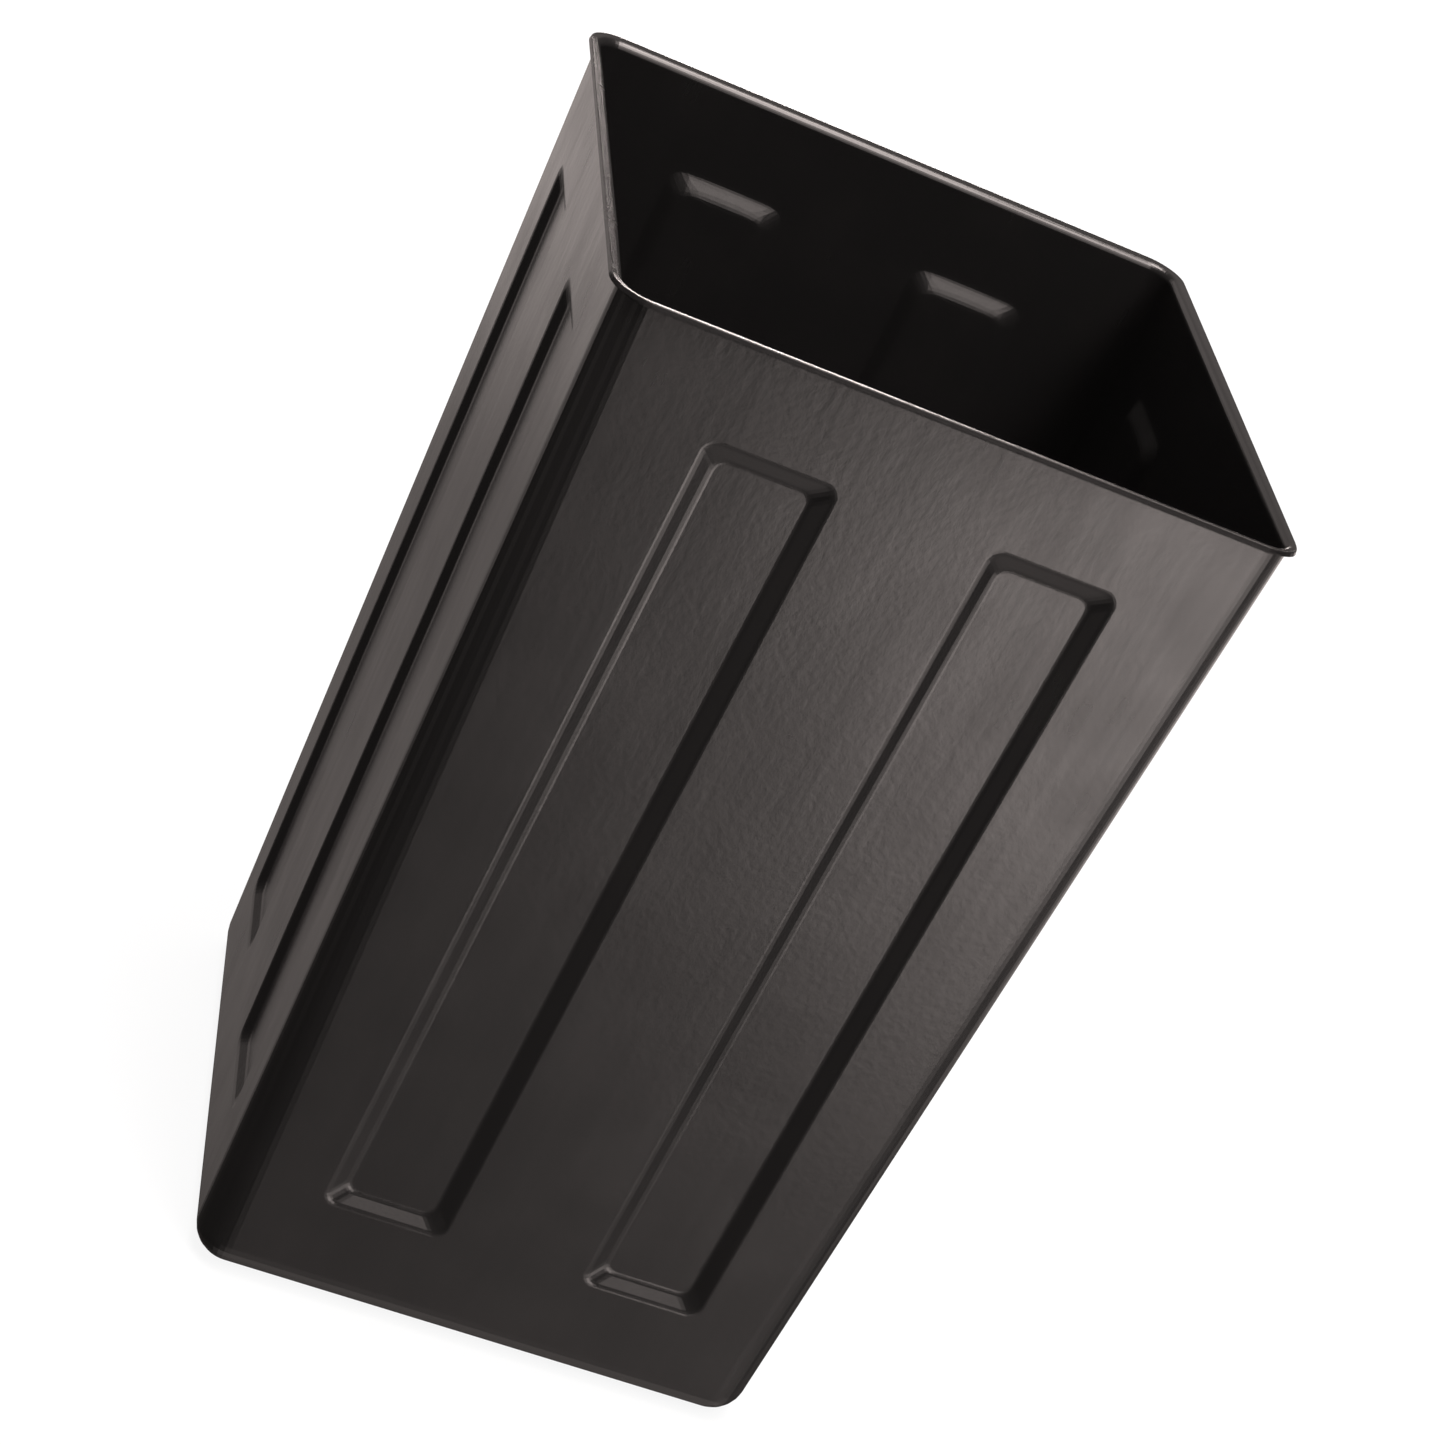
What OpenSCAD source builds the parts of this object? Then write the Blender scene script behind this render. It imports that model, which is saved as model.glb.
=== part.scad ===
// Deep tapered tub, moulded in one piece from a single plastic sheet.
// The origin is the centre of the flat base, +Z points up to the open rim,
// and the two slightly wider walls face -Y and +Y.

/* [Tub] */
// Height from the flat base to the top of the rim
tub_height = 600; // [560:5:700]
// Outside width (X) of the walls, carried up to the rim
rim_width = 346; // [335:1:360]
// Outside depth (Y) of the walls, carried up to the rim
rim_depth = 336; // [325:1:350]
// Outside width (X) of the walls, carried down to the base
base_width = 316; // [300:1:325]
// Outside depth (Y) of the walls, carried down to the base
base_depth = 309; // [295:1:320]
// Thickness of the plastic sheet
sheet = 2.5; // [2:0.1:3]

/* [Corners] */
// Outside radius of the upright corners at the rim
rim_corner = 15; // [12:1:20]
// Outside radius of the upright corners at the base
base_corner = 20; // [19:1:24]
// Outside radius where the walls turn into the base
base_fillet = 18; // [12:1:18]

/* [Lip] */
// How far the lip stands out past the walls
lip_reach = 5; // [4.5:0.5:8]
// Underside radius of the bend from wall to lip
lip_bend = 3; // [2:0.5:4]

/* [Panels] */
// Width of a recessed panel where it leaves the wall
panel_width = 66; // [50:1:70]
// Distance between the middles of the two panels on a wall
panel_spacing = 146; // [130:1:150]
// Drop from the rim to the top edge of a panel
panel_drop = 54; // [40:1:80]
// Height of the bottom edge of a panel above the base
panel_rise = 66; // [50:1:90]
// How deep a panel is pressed in
panel_depth = 4.2; // [3:0.1:5]
// Width of the sloped border of a panel, seen square to the wall
panel_border = 8; // [6:0.5:10]

/* [Hidden] */

// Facets in a quarter turn of a corner, and in the bends of the section
corner_steps = 8;
bend_steps = 6;
// Extra stock that lets one solid run into or through the next
overlap = 1;

base_half = [base_width / 2, base_depth / 2];
rim_half = [rim_width / 2, rim_depth / 2];
// Height where the wall starts to bend outward into the lip
bend_start = tub_height - sheet - lip_bend;
// Height of the panels, measured up the wall
panel_height = tub_height - panel_drop - panel_rise;
// How much wider a panel is on the inside, so that its border keeps the sheet's thickness
border_length = sqrt(panel_border * panel_border + panel_depth * panel_depth);
inside_growth = sheet * (border_length - panel_border) / panel_depth;

// Half size of the wall's outside at height z
function wall_half(z) = base_half + (rim_half - base_half) * z / tub_height;

// Radius of the upright corners at height z
function wall_corner(z) = base_corner + (rim_corner - base_corner) * z / tub_height;

// Rounded rectangle at height z: the wall's outline there, moved outward by reach
function ring(z, reach) =
    let(half = wall_half(min(z, bend_start)) + [reach, reach],
        radius = wall_corner(min(z, bend_start)) + reach)
    [for (quarter = [0:3], step = [0:corner_steps])
        let(angle = 90 * quarter + 90 * step / corner_steps,
            side = [quarter == 0 || quarter == 3 ? 1 : -1, quarter < 2 ? 1 : -1])
        [side.x * (half.x - radius) + radius * cos(angle),
         side.y * (half.y - radius) + radius * sin(angle),
         z]];

// Bend from the flat base into the wall, for a skin set in from the outside by depth
function base_bend(depth) =
    [for (step = [0:bend_steps])
        let(angle = 90 * step / bend_steps, radius = base_fillet - depth)
        [base_fillet - radius * cos(angle), radius * sin(angle) - base_fillet]];

// Wall section as [height, reach] pairs: up the outside, round the lip, down the inside
section = concat(
    base_bend(0),
    [for (step = [0:bend_steps])
        let(angle = 90 * step / bend_steps)
        [bend_start + lip_bend * sin(angle), lip_bend * (1 - cos(angle))]],
    [[tub_height - sheet, lip_reach], [tub_height, lip_reach]],
    [for (step = [0:bend_steps])
        let(angle = 90 * step / bend_steps, radius = lip_bend + sheet)
        [bend_start + radius * cos(angle), lip_bend - radius * sin(angle)]],
    [for (step = [bend_steps:-1:0]) base_bend(sheet)[step]]
);

ring_size = 4 * (corner_steps + 1);

// The plain shell: one ring for each point of the section, skinned and closed
module shell() {
    rings = len(section);
    polyhedron(
        points = [for (point = section) each ring(point[0], point[1])],
        faces = concat(
            [[for (i = [0:ring_size - 1]) i]],
            [for (row = [0:rings - 2], i = [0:ring_size - 1])
                let(next = (i + 1) % ring_size)
                [row * ring_size + i, (row + 1) * ring_size + i,
                 (row + 1) * ring_size + next, row * ring_size + next]],
            [[for (i = [ring_size - 1:-1:0]) (rings - 1) * ring_size + i]]
        )
    );
}

// Section of a panel block: its wide side just outside the wall, its narrow side pressed in
module panel_outline(width) {
    run_out = overlap * panel_border / panel_depth;
    polygon([
        [-width / 2 - run_out, -overlap],
        [width / 2 + run_out, -overlap],
        [width / 2 - panel_border, panel_depth],
        [panel_border - width / 2, panel_depth]
    ]);
}

// Long block with four sloped borders, grown by growth all round; it points along +Y
module panel_block(growth) {
    width = panel_width + 2 * growth;
    height = panel_height + 2 * growth;
    intersection() {
        translate([0, 0, -height])
            linear_extrude(2 * height)
                panel_outline(width);
        rotate([0, -90, 0])
            translate([0, 0, -width])
                linear_extrude(2 * width)
                    panel_outline(height);
    }
}

// Two panel blocks on each wall, leaning with the wall and set in from its outside by inset
module panels(inset, growth) {
    for (wall = [0:3]) {
        base = wall % 2 == 0 ? base_half.y : base_half.x;
        rim = wall % 2 == 0 ? rim_half.y : rim_half.x;
        for (side = [-1, 1])
            rotate(90 * wall)
                translate([0, -base, 0])
                    rotate([atan((rim - base) / tub_height), 0, 0])
                        translate([side * panel_spacing / 2, inset, panel_rise + panel_height / 2])
                            panel_block(growth);
    }
}

// The whole moulding: each panel shows as a recess outside and a raised pad inside
module tub() {
    color("#2b2927")
        difference() {
            union() {
                shell();
                panels(sheet, inside_growth);
            }
            panels(0, 0);
        }
}

tub();
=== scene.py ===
import bmesh
import bpy
from math import cos, pi, radians, sin, tan
from mathutils import Matrix, Vector


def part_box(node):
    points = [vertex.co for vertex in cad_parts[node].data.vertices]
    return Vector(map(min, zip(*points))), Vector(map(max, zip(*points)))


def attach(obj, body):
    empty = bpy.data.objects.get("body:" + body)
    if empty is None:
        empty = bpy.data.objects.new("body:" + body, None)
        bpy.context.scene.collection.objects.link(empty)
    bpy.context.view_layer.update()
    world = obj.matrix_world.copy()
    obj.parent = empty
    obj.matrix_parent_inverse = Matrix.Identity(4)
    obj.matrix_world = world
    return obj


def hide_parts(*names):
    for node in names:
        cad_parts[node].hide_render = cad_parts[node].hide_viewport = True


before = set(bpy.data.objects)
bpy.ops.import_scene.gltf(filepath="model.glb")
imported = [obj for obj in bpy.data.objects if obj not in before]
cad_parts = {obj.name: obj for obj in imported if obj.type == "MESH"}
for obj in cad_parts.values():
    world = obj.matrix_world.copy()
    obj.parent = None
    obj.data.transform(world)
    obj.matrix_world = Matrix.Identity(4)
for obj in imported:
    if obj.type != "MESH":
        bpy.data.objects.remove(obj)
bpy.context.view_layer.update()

view = {
    "place": (-0.467, -1.576, 1.139),   # metres, in the tub's own frame
    "turn": 16.93,                      # degrees from +Y towards +X
    "down": 26.24,                      # degrees below level
    "roll": 27.62,                      # degrees, tipping the picture over to the left
    "lens": 85.95,
    "sensor": 36.0,
    "farthest": 60.0,
}


def addCamera():
    bpy.ops.object.camera_add(location=view["place"])
    camera = bpy.context.object
    camera.name = "mainCamera"
    turn = Matrix.Rotation(-radians(view["turn"]), 3, "Z")
    tip = Matrix.Rotation(radians(90 - view["down"]), 3, "X")
    roll = Matrix.Rotation(radians(view["roll"]), 3, "Z")
    camera.rotation_euler = (turn @ tip @ roll).to_euler()
    camera.data.sensor_width = view["sensor"]
    camera.data.lens = view["lens"]
    camera.data.clip_end = view["farthest"]
    bpy.context.scene.camera = camera


addCamera()
print("camera placed")

tub = {
    "sheet": 0.0025,                    # thickness of the plastic, metres like all lengths here
    "baseHalf": (0.158, 0.1545),        # outside of the walls, carried down to the base
    "lipReach": 0.005,
    "lipBend": 0.002,
    "lipLift": 10,                      # degrees by which the lip climbs towards its cut edge
    "rimCorner": 0.015,
    "baseCorner": 0.020,
    "baseFillet": 0.018,
    "cornerSteps": 10,
    "bendSteps": 7,
    "panelIn": 0.040,                   # panel sides, from the middle of the wall
    "panelOut": 0.106,
    "panelTop": 0.054,                  # drop from the rim
    "panelBottom": 0.066,
    "panelBorder": 0.008,               # width of the sloped border, inside the panel's outline
    "panelDepth": 0.0042,
    "panelRounding": 0.0018,
    "panelCorner": 0.0055,
    "roundingSteps": 3,
    "panelCornerSteps": 5,
    "gridStep": 0.015,
    "trimRounding": 0.0004,
    "closeTrim": 0.0018,                # how much narrower the lip is where it was sawn off closest
    "trimWave": (0.020, 0.0002),        # size and height of the unevenness of the sawn edge
    "waves": ((0.16, 0.0008), (0.045, 0.00012)),    # size and height of the waves in the walls
    "waveFade": (0.08, 0.06),           # the waves die out this close to the base and to a corner
    "bow": {"left": 0.0003, "right": 0.0012, "front": 0.0, "back": 0.0006},     # inward, at the rim
    "bowCage": (5, 5, 4),
    "padSoftening": 11,                 # smoothing rounds on the raised pads inside
    "padSmoothing": 0.5,
    "sharpEdge": 60,                    # degrees past which the sawn edge gets its rounding
    "smoothEdge": 40,
}

tubLow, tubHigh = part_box("tub")
tubHeight = tubHigh.z - tubLow.z
tub["rimHalf"] = (tubHigh.x - tub["lipReach"], tubHigh.y - tub["lipReach"])
lipLift = radians(tub["lipLift"])
flareRun = tub["lipReach"] - tub["lipBend"] * (1 - sin(lipLift))       # the straight part of the lip
flareRise = flareRun * tan(lipLift)
flareStart = tubHeight - tub["trimWave"][1] - tub["sheet"] * cos(lipLift) - flareRise
bendStart = flareStart - tub["lipBend"] * cos(lipLift)
panelLow = tub["panelBottom"]
panelHigh = tubHeight - tub["panelTop"]
flatOn = 0.99           # a face looks straight along an axis when its normal reaches this along it
mostlyOn = 0.7          # and more or less along it at this


def between(low, high, share):
    return low + (high - low) * share


def eased(value):
    value = min(max(value, 0), 1)
    return value * value * (3 - 2 * value)


def arc(sweep, steps):      # even angles from nought to the whole sweep
    return [sweep * step / steps for step in range(steps + 1)]


def wallHalf(z):        # half width and half depth over the walls at height z
    share = min(z, bendStart) / bendStart
    return [between(low, high, share) for low, high in zip(tub["baseHalf"], tub["rimHalf"])]


def wallCorner(z):
    return between(tub["baseCorner"], tub["rimCorner"], min(z, bendStart) / bendStart)


def deselect():
    bpy.ops.mesh.select_all(action="DESELECT")


def chosen(piece, kind, wanted):    # selects only the faces or edges that pass the test
    deselect()
    bpy.ops.mesh.select_mode(type="FACE" if kind == "faces" else "EDGE")
    edit = bmesh.from_edit_mesh(piece.data)
    for part in getattr(edit, kind):
        if wanted(part):
            part.select_set(True)
    bmesh.update_edit_mesh(piece.data)


def outlines():     # height and reach of every outline, from the flat base up to the cut edge of the lip
    fillet = tub["baseFillet"]
    bend = tub["lipBend"]
    rows = [(fillet * (1 - cos(angle)), fillet * (sin(angle) - 1))
            for angle in arc(pi / 2, tub["bendSteps"])]
    rows += [(bendStart + bend * sin(angle), bend * (1 - cos(angle)))
             for angle in arc(pi / 2 - lipLift, tub["bendSteps"])]
    rows += [(flareStart + flareRise * share, tub["lipReach"] - flareRun * (1 - share))
             for share in (0.5, 1.0)]
    return rows


def addOutline(z, reach):   # a rounded rectangle, the wall's outline at height z moved outward by reach
    halfX, halfY = wallHalf(z)
    deselect()
    bpy.ops.mesh.primitive_plane_add(size=2, location=(0, 0, z))
    bpy.ops.transform.resize(value=(halfX + reach, halfY + reach, 1), center_override=(0, 0, z))
    bpy.ops.mesh.bevel(offset_type="OFFSET", offset=wallCorner(z) + reach, segments=tub["cornerSteps"],
                       affect="VERTICES", clamp_overlap=False)
    bpy.ops.mesh.delete(type="ONLY_FACE")


def skinFromOutlines():     # the outside skin, open at the rim
    bpy.ops.object.select_all(action="DESELECT")
    bpy.ops.mesh.primitive_plane_add(size=1)
    piece = bpy.context.object
    piece.name = "tubShell"
    bpy.ops.object.mode_set(mode="EDIT")
    bpy.ops.mesh.select_all(action="SELECT")
    bpy.ops.mesh.delete(type="VERT")
    for z, reach in outlines():
        addOutline(z, reach)
    bpy.ops.mesh.select_mode(type="EDGE")
    bpy.ops.mesh.select_all(action="SELECT")
    bpy.ops.mesh.bridge_edge_loops(type="SINGLE")

    def atBase(edge):
        return edge.is_boundary and edge.verts[0].co.z < tub["baseFillet"]

    chosen(piece, "edges", atBase)
    bpy.ops.mesh.edge_face_add()
    bpy.ops.mesh.select_all(action="SELECT")
    bpy.ops.mesh.normals_make_consistent(inside=True)   # the lip, furthest out, faces down
    return piece


def across(place):      # how far a point lies from the middle of its wall, measured along the wall
    onFront = abs(place.y) / wallHalf(place.z)[1] > abs(place.x) / wallHalf(place.z)[0]
    return abs(place.x) if onFront else abs(place.y)


def nearPanel(place, margin):
    return panelLow - margin < place.z < panelHigh + margin and \
        tub["panelIn"] - margin < across(place) < tub["panelOut"] + margin


def upright(face):      # walls and rounded corners, without the base and the lip
    return tub["baseFillet"] < face.calc_center_median().z < bendStart


def onWall(face, axis):     # on the flat of one of the two walls that look along this axis
    return upright(face) and abs(face.normal[axis]) > flatOn


def throughGrid(face, axis):    # the base, and the two walls that cuts square to this axis run through
    return abs(face.normal[1 - axis]) > mostlyOn or face.normal.z < -flatOn


def cutAt(piece, axis, places, wanted):     # cuts the wanted faces along planes square to one axis
    normal = [0, 0, 0]
    normal[axis] = 1
    for place in places:
        chosen(piece, "faces", wanted)
        bpy.ops.mesh.bisect(plane_co=[place * part for part in normal], plane_no=normal)


def mirrored(places):
    return [-place for place in reversed(places)] + places


def pressPanels(piece):     # two long panels pushed into each wall, with sloped and rounded borders
    slack = 0.0005
    longestSlant = 4 * tub["panelBorder"]
    creased = radians(15)       # edges that turn more than this are rounded
    sides = mirrored([tub["panelIn"], tub["panelOut"]])
    cutAt(piece, 2, [panelLow, panelHigh], upright)
    cutAt(piece, 0, sides, lambda face: onWall(face, 1))
    cutAt(piece, 1, sides, lambda face: onWall(face, 0))
    chosen(piece, "faces", lambda face: upright(face) and nearPanel(face.calc_center_median(), 0))
    bpy.ops.mesh.inset(thickness=tub["panelBorder"], depth=-tub["panelDepth"], use_individual=True)

    def inPanel(edge):
        return all(nearPanel(corner.co, slack) for corner in edge.verts)

    def slanted(edge):      # the four short edges of a panel where two sloped borders meet
        run = edge.verts[0].co - edge.verts[1].co
        sideways = max(abs(run.x), abs(run.y))
        return inPanel(edge) and abs(run.z) > slack and sideways > slack and run.length < longestSlant

    chosen(piece, "edges", slanted)
    bpy.ops.mesh.bevel(offset=tub["panelCorner"], segments=tub["panelCornerSteps"], affect="EDGES",
                       clamp_overlap=False)
    chosen(piece, "edges", lambda edge: inPanel(edge) and edge.calc_face_angle(0) > creased)
    bpy.ops.mesh.bevel(offset=tub["panelRounding"], segments=tub["roundingSteps"], affect="EDGES",
                       clamp_overlap=False)


def spaced(low, high):      # even places between two limits, about one grid step apart
    count = max(1, round((high - low) / tub["gridStep"]))
    return [low + (high - low) * step / count for step in range(1, count)]


def addGrid(piece):     # even cuts, so that the large flats can take a gentle wave
    gap = tub["panelRounding"] * 1.5
    border = tub["panelBorder"] + gap
    panelIn = tub["panelIn"]
    panelOut = tub["panelOut"]
    heights = spaced(tub["baseFillet"], panelLow - gap) + [panelLow - gap, panelLow + border]
    heights += spaced(panelLow + border, panelHigh - border)
    heights += [panelHigh - border, panelHigh + gap] + spaced(panelHigh + gap, bendStart)
    halfSides = spaced(panelOut + gap, panelOut + 2 * tub["gridStep"])
    halfSides += [panelOut + gap, panelOut - border]
    halfSides += spaced(panelIn + border, panelOut - border) + [panelIn + border, panelIn - gap]
    halfSides += spaced(0, panelIn - gap)
    cutAt(piece, 2, heights, upright)
    for axis in (0, 1):
        cutAt(piece, axis, mirrored(halfSides) + [0], lambda face: throughGrid(face, axis))


def applied(piece, kind, **settings):   # adds one modifier, sets it and applies it
    modifier = piece.modifiers.new(kind.lower(), kind)
    for name, value in settings.items():
        setattr(modifier, name, value)
    bpy.context.view_layer.objects.active = piece
    bpy.ops.object.modifier_apply(modifier=modifier.name)


def weighted(piece, name, weight):  # a vertex group whose weights follow a rule
    group = piece.vertex_groups.new(name=name)
    for vertex in piece.data.vertices:
        group.add([vertex.index], weight(vertex.co), "REPLACE")
    return name


def wallFreedom(place):     # 0 on the base and in the stiff corners, 1 in the middle of a wall
    half = wallHalf(place.z)
    fromCorner = max(half[0] - abs(place.x), half[1] - abs(place.y)) - wallCorner(place.z)
    nearBase, nearCorner = tub["waveFade"]
    return eased((place.z - tub["baseFillet"]) / nearBase) * eased(fromCorner / nearCorner)


def onTrim(place):      # 1 on the last outline, where the lip is cut, and 0 on all the others
    lastStep = 0.75
    return 1.0 if place.z > flareStart + lastStep * flareRise else 0.0


def waved(piece, group, size, height, level):   # a cloudy wave, both ways at level 0.5, inward at 1
    clouds = bpy.data.textures.new("sheetWave", "CLOUDS")
    clouds.noise_scale = size
    applied(piece, "DISPLACE", texture=clouds, vertex_group=group, strength=height, mid_level=level)


def trimUnevenly(piece):    # the lip was sawn off closer along the front half of the right side
    for vertex in piece.data.vertices:
        share = (vertex.co.x - tub["rimHalf"][0]) / tub["lipReach"]
        if share > 0:
            shift = tub["closeTrim"] * share * eased(0.5 - vertex.co.y / tub["rimHalf"][1])
            vertex.co.x -= shift
            vertex.co.z -= shift * tan(lipLift)


def bowRim(piece):      # the long free edges have sagged inward a little since the tub was moulded
    bpy.ops.object.add(type="LATTICE", location=(0, 0, tubHeight / 2))
    cage = bpy.context.object
    cage.scale = (2 * tubHigh.x, 2 * tubHigh.y, tubHeight)
    cage.data.points_u, cage.data.points_v, cage.data.points_w = tub["bowCage"]
    outermost = 0.4     # the cage runs from -0.5 to 0.5, so this leaves its outer layer of points
    sides = {"left": (0, 1), "right": (0, -1), "front": (1, 1), "back": (1, -1)}
    for name, (axis, inward) in sides.items():
        for point in cage.data.points:
            outside = point.co[axis] * -inward > outermost
            along = 1 - (2 * point.co[1 - axis]) ** 2
            if outside and point.co.z > 0:
                sag = tub["bow"][name] * along * 2 * point.co.z
                point.co_deform[axis] += inward * sag / cage.scale[axis]
    applied(piece, "LATTICE", object=cage)
    bpy.data.objects.remove(cage)


def softenInside(piece, inner):     # the sheet rounds off every step on the side away from the mould
    pads = piece.vertex_groups.new(name="pads")
    index = piece.vertex_groups[inner].index
    reach = 2 * tub["panelRounding"]
    for vertex in piece.data.vertices:
        inside = any(part.group == index and part.weight > 0.5 for part in vertex.groups)
        if inside and nearPanel(vertex.co, reach):
            pads.add([vertex.index], 1.0, "REPLACE")
    applied(piece, "SMOOTH", factor=tub["padSmoothing"], iterations=tub["padSoftening"],
            vertex_group="pads")


def makeTub():
    piece = skinFromOutlines()
    pressPanels(piece)
    addGrid(piece)
    bpy.ops.object.mode_set(mode="OBJECT")
    walls = weighted(piece, "walls", wallFreedom)
    for size, height in tub["waves"]:
        waved(piece, walls, size, height, 0.5)
    waved(piece, weighted(piece, "trim", onTrim), *tub["trimWave"], 1.0)
    trimUnevenly(piece)
    bowRim(piece)
    inner = piece.vertex_groups.new(name="inner").name
    applied(piece, "SOLIDIFY", thickness=tub["sheet"], offset=-1, use_even_offset=True,
            material_offset_rim=1, shell_vertex_group=inner)
    softenInside(piece, inner)
    applied(piece, "BEVEL", width=tub["trimRounding"], segments=2, limit_method="ANGLE",
            angle_limit=radians(tub["sharpEdge"]))
    bpy.ops.object.shade_smooth_by_angle(angle=radians(tub["smoothEdge"]))
    piece.vertex_groups.clear()
    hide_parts("tub")
    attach(piece, "root")
    print("tub made", len(piece.data.polygons), "faces")
    return piece


tubShell = makeTub()


def addNode(tree, kind, **settings):
    node = tree.nodes.new(kind)
    for name, value in settings.items():
        setattr(node, name, value)
    return node


def addNoise(tree, place, scale, detail, stretch=None):     # noise in the piece's own space, 0 to 1
    if stretch:
        mapping = addNode(tree, "ShaderNodeMapping")
        mapping.inputs["Scale"].default_value = stretch
        tree.links.new(place, mapping.inputs["Vector"])
        place = mapping.outputs["Vector"]
    noise = addNode(tree, "ShaderNodeTexNoise")
    noise.inputs["Scale"].default_value = scale
    noise.inputs["Detail"].default_value = detail
    tree.links.new(place, noise.inputs["Vector"])
    return noise.outputs["Fac"]


def addRange(tree, value, start, end, low=0.0, high=1.0):       # maps start..end to low..high, eased
    span = addNode(tree, "ShaderNodeMapRange", interpolation_type="SMOOTHSTEP")
    tree.links.new(value, span.inputs["Value"])
    for name, number in (("From Min", start), ("From Max", end), ("To Min", low), ("To Max", high)):
        span.inputs[name].default_value = number
    return span.outputs["Result"]


def addMath(tree, operation, first, second):
    node = addNode(tree, "ShaderNodeMath", operation=operation)
    for socket, value in zip(node.inputs, (first, second)):
        if isinstance(value, float):
            socket.default_value = value
        else:
            tree.links.new(value, socket)
    return node.outputs["Value"]


def addMix(tree, share, first, second):     # two colours, or a colour over what is already there
    node = addNode(tree, "ShaderNodeMix", data_type="RGBA")
    tree.links.new(share, node.inputs["Factor"])
    for socket, value in ((node.inputs[6], first), (node.inputs[7], second)):
        if isinstance(value, tuple):
            socket.default_value = (*value, 1)
        else:
            tree.links.new(value, socket)
    return node.outputs[2]


def addBump(tree, height, strength, distance, below=None):      # below is the bump under this one
    bump = addNode(tree, "ShaderNodeBump")
    bump.inputs["Strength"].default_value = strength
    bump.inputs["Distance"].default_value = distance
    tree.links.new(height, bump.inputs["Height"])
    if below:
        tree.links.new(below, bump.inputs["Normal"])
    return bump.outputs["Normal"]


def newMaterial(name):
    material = bpy.data.materials.new(name)
    material.use_nodes = True
    tree = material.node_tree
    place = addNode(tree, "ShaderNodeTexCoord").outputs["Object"]
    return material, tree, tree.nodes["Principled BSDF"], place


mostNoise = (0.3, 0.7)      # nearly all of a noise lies between these levels

# a noise is its scale per metre, its detail and perhaps its stretch, and a bump is strength and distance
plastic = {
    "black": (0.0112, 0.0114, 0.0115),
    "worn": (0.024, 0.022, 0.021),      # rubbed and dusty places
    "scuff": (0.060, 0.055, 0.051),
    "roughness": (0.236, 0.256),        # from the smoothest cloud to the dullest
    "drawnRoughness": (-0.008, 0.010),
    "wornRoughness": 0.12,
    "clouds": (20.0, 3.0),
    "drawn": (150.0, 2.0, (1.0, 1.0, 0.05)),    # marks drawn down the walls as the hot sheet stretched
    "peel": (260.0, 2.0),
    "grain": (1500.0, 2.0),
    "scratches": (60.0, 2.0, (14.0, 14.0, 0.3)),
    "scratchEdge": (0.62, 0.72),        # the noise level where a scratch starts and where it is full
    "patches": (7.0, 3.0),              # scratches come in patches
    "patchEdge": (0.56, 0.70),
    "scuffShare": 0.03,
    "rubs": (90.0, 6.0),
    "rubEdge": (0.42, 0.62),
    "footHeight": 0.0022,               # the foot is rubbed up to here
    "dustEdge": (0.45, 0.75),
    "dustShare": 0.10,
    "drawnBump": (0.14, 0.00025),
    "peelBump": (0.12, 0.0004),
    "grainBump": (0.15, 0.00008),
}


def makeBlackPlastic():
    material, tree, shader, place = newMaterial("blackPlastic")
    clouds = addNoise(tree, place, *plastic["clouds"])
    drawn = addNoise(tree, place, *plastic["drawn"])
    peel = addNoise(tree, place, *plastic["peel"])
    grain = addNoise(tree, place, *plastic["grain"])
    scratches = addRange(tree, addNoise(tree, place, *plastic["scratches"]), *plastic["scratchEdge"])
    patches = addRange(tree, addNoise(tree, place, *plastic["patches"]), *plastic["patchEdge"])
    scratched = addMath(tree, "MULTIPLY", scratches, patches)
    height = addNode(tree, "ShaderNodeSeparateXYZ")
    tree.links.new(place, height.inputs[0])
    foot = addRange(tree, height.outputs["Z"], plastic["footHeight"], 0.0)
    rubs = addRange(tree, addNoise(tree, place, *plastic["rubs"]), *plastic["rubEdge"])
    dust = addMath(tree, "MULTIPLY", addRange(tree, clouds, *plastic["dustEdge"]), plastic["dustShare"])
    worn = addMath(tree, "MAXIMUM", addMath(tree, "MULTIPLY", foot, rubs), dust)
    colour = addMix(tree, worn, plastic["black"], plastic["worn"])
    scuffed = addMath(tree, "MULTIPLY", scratched, plastic["scuffShare"])
    tree.links.new(addMix(tree, scuffed, colour, plastic["scuff"]), shader.inputs["Base Color"])
    rough = addRange(tree, clouds, *mostNoise, *plastic["roughness"])
    rough = addMath(tree, "ADD", rough, addRange(tree, drawn, *mostNoise, *plastic["drawnRoughness"]))
    rough = addMath(tree, "ADD", rough, addMath(tree, "MULTIPLY", worn, plastic["wornRoughness"]))
    tree.links.new(rough, shader.inputs["Roughness"])
    bump = addBump(tree, drawn, *plastic["drawnBump"])
    bump = addBump(tree, peel, *plastic["peelBump"], bump)
    bump = addBump(tree, grain, *plastic["grainBump"], bump)
    tree.links.new(bump, shader.inputs["Normal"])
    return material


sawn = {
    "dark": (0.020, 0.018, 0.017),
    "light": (0.055, 0.050, 0.047),
    "roughness": (0.42, 0.68),
    "scoring": (60.0, 5.0, (1.0, 1.0, 45.0)),
    "blotches": (160.0, 3.0),
    "bump": (0.25, 0.0002),
}


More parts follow.
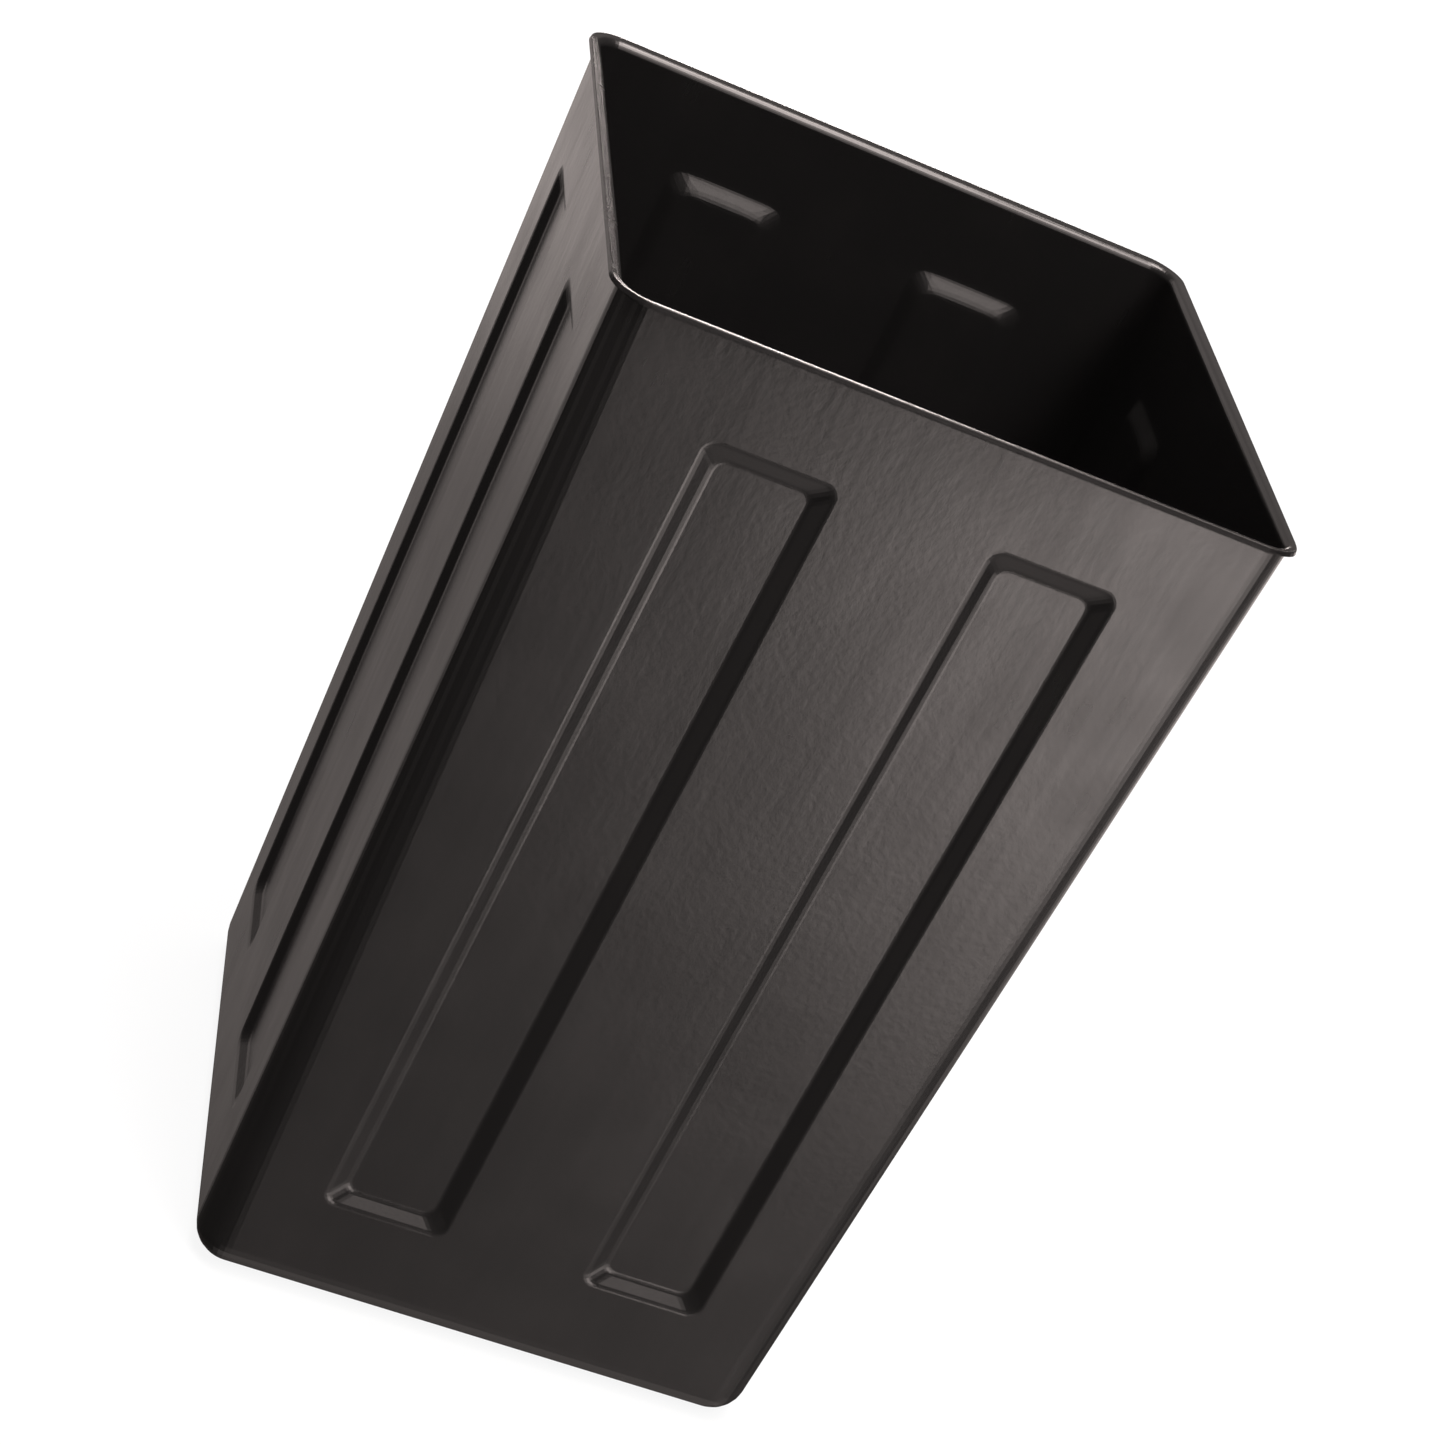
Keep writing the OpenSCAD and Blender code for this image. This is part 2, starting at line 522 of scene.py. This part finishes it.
def makeSawnEdge():     # the lip's cut edge, dull and finely scored along its length
    material, tree, shader, place = newMaterial("sawnEdge")
    scored = addNoise(tree, place, *sawn["scoring"])
    blotches = addNoise(tree, place, *sawn["blotches"])
    tree.links.new(addMix(tree, blotches, sawn["dark"], sawn["light"]), shader.inputs["Base Color"])
    tree.links.new(addRange(tree, scored, *mostNoise, *sawn["roughness"]), shader.inputs["Roughness"])
    tree.links.new(addBump(tree, scored, *sawn["bump"]), shader.inputs["Normal"])
    return material


tubShell.data.materials.clear()
tubShell.data.materials.append(makeBlackPlastic())
tubShell.data.materials.append(makeSawnEdge())
print("plastic made")

studio = {
    "floorSize": 40,
    "floorGap": 0.0005,                 # below the base
    "floorColour": (0.060, 0.066, 0.069),
    "floorRoughness": 0.9,
    "floorGlow": 0.90,                  # the paper is lit from below as on a light table
    "seenColour": (1.0, 1.0, 1.0),
    "lightColour": (1.0, 0.888, 0.852),
    "base": 0.06,                       # light from everywhere
    "viewTransform": "Standard",
}

# for each soft box: degrees round from the front towards the right, degrees up,
# half angle of its even middle, half angle of its soft edge, strength
softBoxes = {
    "window": (26, -23.5, 1, 9.3, 7.8),
    "windowSide": (39, -22, 1, 9, 3.2),
    "frontFill": (14, -33, 3, 15, 0.12),
    "frontUpper": (9, -12, 2, 12, 0.14),
    "rightStrip": (56, -22, 2, 12, 2.6),
    "rightFill": (102, -18, 6, 22, 0.6),
    "frontHigh": (18, 38, 4, 15, 3.6),
    "frontStep": (16, 18, 5, 13, 2.0),
    "frontTop": (27, 60, 4, 16, 14.0),
    "overhead": (0, 90, 6, 24, 18.0),
    "floorGlow": (50, -64, 10, 40, 0.5),
    "leftFront": (-38, -20, 5, 18, 0.18),
    "leftShade": (-86, -14, 8, 26, 0.2),
    "rearLeft": (-148, -22, 2, 12, 0.45),
    "backdrop": (-172, -12, 3, 14, 0.95),
    "backdropLow": (-169, -29, 3, 14, 0.22),
    "backHigh": (175, 30, 8, 26, 0.3),
    "backStrip": (168, -3, 3, 9, 20.0),
    "backRight": (132, -14, 6, 20, 1.4),
    "rearFill": (-150, 14, 8, 26, 0.6),
}


def addFloor():
    bpy.ops.object.select_all(action="DESELECT")
    floorLevel = tubLow.z - studio["floorGap"]
    bpy.ops.mesh.primitive_plane_add(size=studio["floorSize"], location=(0, 0, floorLevel))
    floor = bpy.context.object
    floor.name = "paleFloor"
    bpy.ops.object.transform_apply(location=True, rotation=True, scale=True)
    paper, tree, shader, place = newMaterial("palePaper")
    shader.inputs["Base Color"].default_value = (*studio["floorColour"], 1)
    shader.inputs["Roughness"].default_value = studio["floorRoughness"]
    shader.inputs["Emission Color"].default_value = (1, 1, 1, 1)
    shader.inputs["Emission Strength"].default_value = studio["floorGlow"]
    floor.data.materials.append(paper)
    floor.visible_glossy = False
    floor.visible_shadow = False
    floor.visible_diffuse = False


def addSoftBox(tree, direction, name, box):     # a round patch of light on the sky, soft at its edge
    azimuth, elevation, inner, outer, strength = box
    level = cos(radians(elevation))
    middle = (sin(radians(azimuth)) * level, -cos(radians(azimuth)) * level, sin(radians(elevation)))
    facing = addNode(tree, "ShaderNodeVectorMath", operation="DOT_PRODUCT", label=name)
    tree.links.new(direction, facing.inputs[0])
    facing.inputs[1].default_value = Vector(middle).normalized()
    fade = addNode(tree, "ShaderNodeMapRange", interpolation_type="SMOOTHERSTEP")
    tree.links.new(facing.outputs["Value"], fade.inputs["Value"])
    fade.inputs["From Min"].default_value = cos(radians(outer))
    fade.inputs["From Max"].default_value = cos(radians(inner))
    fade.inputs["To Max"].default_value = strength
    return fade.outputs["Result"]


def addBackground(tree, colour):
    background = addNode(tree, "ShaderNodeBackground")
    background.inputs["Color"].default_value = (*colour, 1)
    return background


def addStudioLight():       # the soft boxes light the tub, and a plain pale wall shows behind it
    world = bpy.data.worlds.new("studio")
    bpy.context.scene.world = world
    world.use_nodes = True
    tree = world.node_tree
    tree.nodes.clear()
    direction = addNode(tree, "ShaderNodeTexCoord").outputs["Generated"]
    total = studio["base"]
    for name, box in softBoxes.items():
        total = addMath(tree, "ADD", addSoftBox(tree, direction, name, box), total)
    light = addBackground(tree, studio["lightColour"])
    tree.links.new(total, light.inputs["Strength"])
    seen = addBackground(tree, studio["seenColour"])
    path = addNode(tree, "ShaderNodeLightPath")
    mix = addNode(tree, "ShaderNodeMixShader")
    tree.links.new(path.outputs["Is Camera Ray"], mix.inputs["Fac"])
    tree.links.new(light.outputs["Background"], mix.inputs[1])
    tree.links.new(seen.outputs["Background"], mix.inputs[2])
    output = addNode(tree, "ShaderNodeOutputWorld")
    tree.links.new(mix.outputs["Shader"], output.inputs["Surface"])


addFloor()
addStudioLight()
bpy.context.scene.view_settings.view_transform = studio["viewTransform"]
print("floor and light set")
